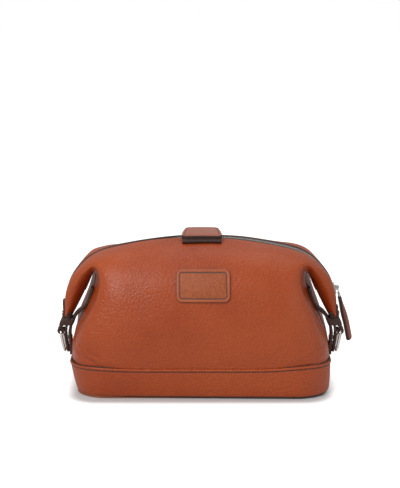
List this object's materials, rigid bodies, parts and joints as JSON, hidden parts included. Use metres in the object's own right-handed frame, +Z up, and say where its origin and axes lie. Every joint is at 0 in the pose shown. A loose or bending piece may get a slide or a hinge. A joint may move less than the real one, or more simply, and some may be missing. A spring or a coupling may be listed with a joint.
{
  "type": "framed shaving kit bag",
  "caption": "Framed leather shaving kit bag with a stiff base band, arched zip mouth, hanging ears with side buckles, a front patch and a grab tab.",
  "frame": {"origin": "middle of the underside of the bottom panel", "axes": "+Z up, -Y to the front with the patch, +X along the length towards the closed zip slider"},
  "size_m": [0.2901, 0.137, 0.152],
  "materials": {
    "body_leather": "pebbled full grain cowhide, cognac, soft sheen",
    "edge_leather": "painted dark brown edges, satin",
    "bottom_leather": "smooth, matt",
    "patch_leather": "smooth embossable patch, satin",
    "tab_leather": "smooth, satin, dark painted edges",
    "strap_leather": "smooth dark red brown, satin",
    "board": "stiffening board",
    "lining": "woven brown lining",
    "frame_steel": "zinc plated",
    "zip_tape": "woven dark brown tape",
    "zip_metal": "bright nickel teeth",
    "slider_metal": "polished nickel",
    "rivet_metal": "polished nickel",
    "buckle_metal": "polished nickel, slightly warm"
  },
  "bodies": {
    "bag": {"front_wall": "body_leather", "back_wall": "body_leather", "front_top": "body_leather", "back_top": "body_leather", "base_band": "body_leather", "base_welt": "edge_leather", "bottom_panel": "bottom_leather", "logo_patch": "patch_leather", "base_board": "board", "front_lining": "lining", "back_lining": "lining", "front_lining_top": "lining", "back_lining_top": "lining", "band_lining": "lining", "lining_floor": "lining", "left_body_strap": "strap_leather", "left_ear_strap": "strap_leather", "left_strap_tail": "strap_leather", "left_hinge_pin": "rivet_metal", "left_strap_rivet": "rivet_metal", "right_body_strap": "strap_leather", "right_ear_strap": "strap_leather", "right_strap_tail": "strap_leather", "right_hinge_pin": "rivet_metal", "right_strap_rivet": "rivet_metal"},
    "front_frame": {"front_frame_bar": "frame_steel", "front_hem": "edge_leather", "front_tape": "zip_tape", "front_teeth": "zip_metal"},
    "back_frame": {"back_frame_bar": "frame_steel", "back_hem": "edge_leather", "back_tape": "zip_tape", "back_teeth": "zip_metal", "tab_spacer": "tab_leather"},
    "grab_tab": {"tab_top": "tab_leather", "tab_under": "tab_leather"},
    "zip_slider": {"slider_body": "slider_metal", "slider_pin": "slider_metal"},
    "zip_pull": {"pull_link": "slider_metal", "pull_leather": "strap_leather"},
    "left_buckle": {"left_buckle_frame": "buckle_metal"},
    "left_prong": {"left_buckle_prong": "buckle_metal"},
    "right_buckle": {"right_buckle_frame": "buckle_metal"},
    "right_prong": {"right_buckle_prong": "buckle_metal"}
  },
  "joints": [
    {"name": "mouth_front", "type": "hinge", "parent": "bag", "child": "front_frame", "pos_m": [0, 0, 0.07], "axis": [1, 0, 0], "range_deg": [0, 35], "deforming": ["front_top", "front_lining_top", "logo_patch", "front_tape"]},
    {"name": "mouth_back", "type": "hinge", "parent": "bag", "child": "back_frame", "pos_m": [0, 0, 0.07], "axis": [-1, 0, 0], "range_deg": [0, 35], "deforming": ["back_top", "back_lining_top", "back_tape"]},
    {"name": "slider_travel", "type": "hinge", "parent": "back_frame", "child": "zip_slider", "pos_m": [0.07575, 0, 0.0808], "axis": [0, -1, 0], "range_deg": [0, 54]},
    {"name": "pull_swing", "type": "hinge", "parent": "zip_slider", "child": "zip_pull", "pos_m": [0.13505, 0, 0.09669], "axis": [0, -1, 0], "range_deg": [0, 95]},
    {"name": "tab_lift", "type": "hinge", "parent": "back_frame", "child": "grab_tab", "pos_m": [0, 0.0205, 0.1488], "axis": [-1, 0, 0], "range_deg": [0, 90]},
    {"name": "left_buckle_swing", "type": "hinge", "parent": "bag", "child": "left_buckle", "pos_m": [-0.1382, 0, 0.0536], "axis": [0, 1, 0], "range_deg": [0, 25]},
    {"name": "left_prong_swing", "type": "hinge", "parent": "left_buckle", "child": "left_prong", "pos_m": [-0.1382, 0, 0.0536], "axis": [0, 1, 0], "range_deg": [0, 10]},
    {"name": "right_buckle_swing", "type": "hinge", "parent": "bag", "child": "right_buckle", "pos_m": [0.1382, 0, 0.0536], "axis": [0, -1, 0], "range_deg": [0, 25]},
    {"name": "right_prong_swing", "type": "hinge", "parent": "right_buckle", "child": "right_prong", "pos_m": [0.1382, 0, 0.0536], "axis": [0, -1, 0], "range_deg": [0, 10]}
  ],
  "couplings": [
    {"joint": "mouth_back", "follows": "mouth_front", "ratio": 1}
  ]
}
